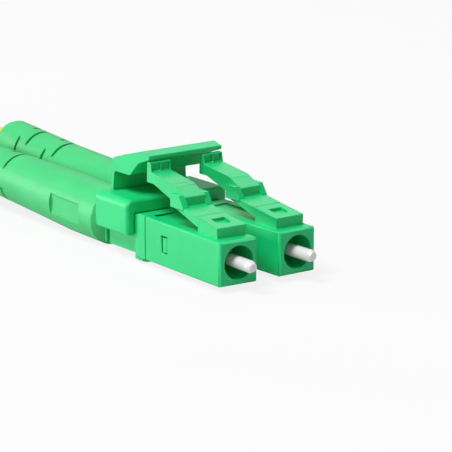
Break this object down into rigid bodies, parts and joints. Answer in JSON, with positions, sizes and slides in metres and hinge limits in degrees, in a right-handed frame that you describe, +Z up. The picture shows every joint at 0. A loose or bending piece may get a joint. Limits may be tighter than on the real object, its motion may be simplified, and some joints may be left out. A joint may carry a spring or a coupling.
{
  "type": "fibre patch cord",
  "caption": "Duplex fibre patch cord: square latched plugs side by side in a clip with a trigger, long boots, and a coiled twin cord.",
  "frame": {"origin": "on the floor below the middle of the connector that the picture shows", "axes": "+Y from the ferrules back along the cord, +X across both plugs, +Z up through the trigger"},
  "size_m": [0.0547, 0.1268, 0.0112],
  "materials": {
    "green_plastic": "smooth moulded green plastic with a soft gloss",
    "green_boot": "lighter green soft elastomer, satin",
    "white_ceramic": "polished white zirconia ceramic",
    "nickel_metal": "nickel plated metal",
    "spring_steel": "drawn spring wire",
    "yellow_jacket": "satin yellow cable jacket"
  },
  "bodies": {
    "root": {"duplex_clip": "green_plastic", "plug_a_housing": "green_plastic", "plug_a_rear_body": "green_plastic", "plug_a_spring": "spring_steel", "plug_a_crimp_sleeve": "nickel_metal", "plug_a_boot": "green_boot", "plug_b_housing": "green_plastic", "plug_b_rear_body": "green_plastic", "plug_b_spring": "spring_steel", "plug_b_crimp_sleeve": "nickel_metal", "plug_b_boot": "green_boot", "far_duplex_clip": "green_plastic", "far_plug_a_housing": "green_plastic", "far_plug_a_rear_body": "green_plastic", "far_plug_a_spring": "spring_steel", "far_plug_a_crimp_sleeve": "nickel_metal", "far_plug_a_boot": "green_boot", "far_plug_b_housing": "green_plastic", "far_plug_b_rear_body": "green_plastic", "far_plug_b_spring": "spring_steel", "far_plug_b_crimp_sleeve": "nickel_metal", "far_plug_b_boot": "green_boot", "cord_leg_a": "yellow_jacket", "cord_leg_b": "yellow_jacket", "cord_run": "yellow_jacket", "cord_coil": "yellow_jacket", "cord_tail": "yellow_jacket", "far_cord_leg_a": "yellow_jacket", "far_cord_leg_b": "yellow_jacket"},
    "trigger": {"trigger": "green_plastic"},
    "latch_a": {"plug_a_latch": "green_plastic"},
    "ferrule_a": {"plug_a_ferrule": "white_ceramic", "plug_a_ferrule_flange": "nickel_metal"},
    "latch_b": {"plug_b_latch": "green_plastic"},
    "ferrule_b": {"plug_b_ferrule": "white_ceramic", "plug_b_ferrule_flange": "nickel_metal"},
    "far_trigger": {"far_trigger": "green_plastic"},
    "far_latch_a": {"far_plug_a_latch": "green_plastic"},
    "far_ferrule_a": {"far_plug_a_ferrule": "white_ceramic", "far_plug_a_ferrule_flange": "nickel_metal"},
    "far_latch_b": {"far_plug_b_latch": "green_plastic"},
    "far_ferrule_b": {"far_plug_b_ferrule": "white_ceramic", "far_plug_b_ferrule_flange": "nickel_metal"}
  },
  "joints": [
    {"name": "trigger_press", "type": "hinge", "parent": "root", "child": "trigger", "pos_m": [0, -0.00426, 0.00626], "axis": [1, 0, 0], "range_deg": [0, 12.5], "stiffness_Nm_per_rad": 0.02},
    {"name": "latch_a_press", "type": "hinge", "parent": "root", "child": "latch_a", "pos_m": [-0.00345, -0.01986, 0.00611], "axis": [0.9997, -0.0262, 0], "range_deg": [-10, 0], "stiffness_Nm_per_rad": 0.02},
    {"name": "ferrule_a_slide", "type": "slide", "parent": "root", "child": "ferrule_a", "axis": [0.0262, 0.9997, 0], "range_m": [0, 0.0009], "stiffness_N_per_m": 1000, "deforming": ["plug_a_spring"]},
    {"name": "latch_b_press", "type": "hinge", "parent": "root", "child": "latch_b", "pos_m": [0.00345, -0.01986, 0.00611], "axis": [0.9997, 0.0262, 0], "range_deg": [-10, 0], "stiffness_Nm_per_rad": 0.02},
    {"name": "ferrule_b_slide", "type": "slide", "parent": "root", "child": "ferrule_b", "axis": [-0.0262, 0.9997, 0], "range_m": [0, 0.0009], "stiffness_N_per_m": 1000, "deforming": ["plug_b_spring"]},
    {"name": "far_trigger_press", "type": "hinge", "parent": "root", "child": "far_trigger", "pos_m": [-0.0422, -0.00426, 0.00626], "axis": [1, 0, 0], "range_deg": [0, 12.5], "stiffness_Nm_per_rad": 0.02},
    {"name": "far_latch_a_press", "type": "hinge", "parent": "root", "child": "far_latch_a", "pos_m": [-0.04565, -0.01986, 0.00611], "axis": [0.9997, -0.0262, 0], "range_deg": [-10, 0], "stiffness_Nm_per_rad": 0.02},
    {"name": "far_ferrule_a_slide", "type": "slide", "parent": "root", "child": "far_ferrule_a", "axis": [0.0262, 0.9997, 0], "range_m": [0, 0.0009], "stiffness_N_per_m": 1000, "deforming": ["far_plug_a_spring"]},
    {"name": "far_latch_b_press", "type": "hinge", "parent": "root", "child": "far_latch_b", "pos_m": [-0.03875, -0.01986, 0.00611], "axis": [0.9997, 0.0262, 0], "range_deg": [-10, 0], "stiffness_Nm_per_rad": 0.02},
    {"name": "far_ferrule_b_slide", "type": "slide", "parent": "root", "child": "far_ferrule_b", "axis": [-0.0262, 0.9997, 0], "range_m": [0, 0.0009], "stiffness_N_per_m": 1000, "deforming": ["far_plug_b_spring"]}
  ],
  "couplings": [
    {"joint": "latch_a_press", "follows": "trigger_press", "ratio": -0.8},
    {"joint": "latch_b_press", "follows": "trigger_press", "ratio": -0.8},
    {"joint": "far_latch_a_press", "follows": "far_trigger_press", "ratio": -0.8},
    {"joint": "far_latch_b_press", "follows": "far_trigger_press", "ratio": -0.8}
  ]
}
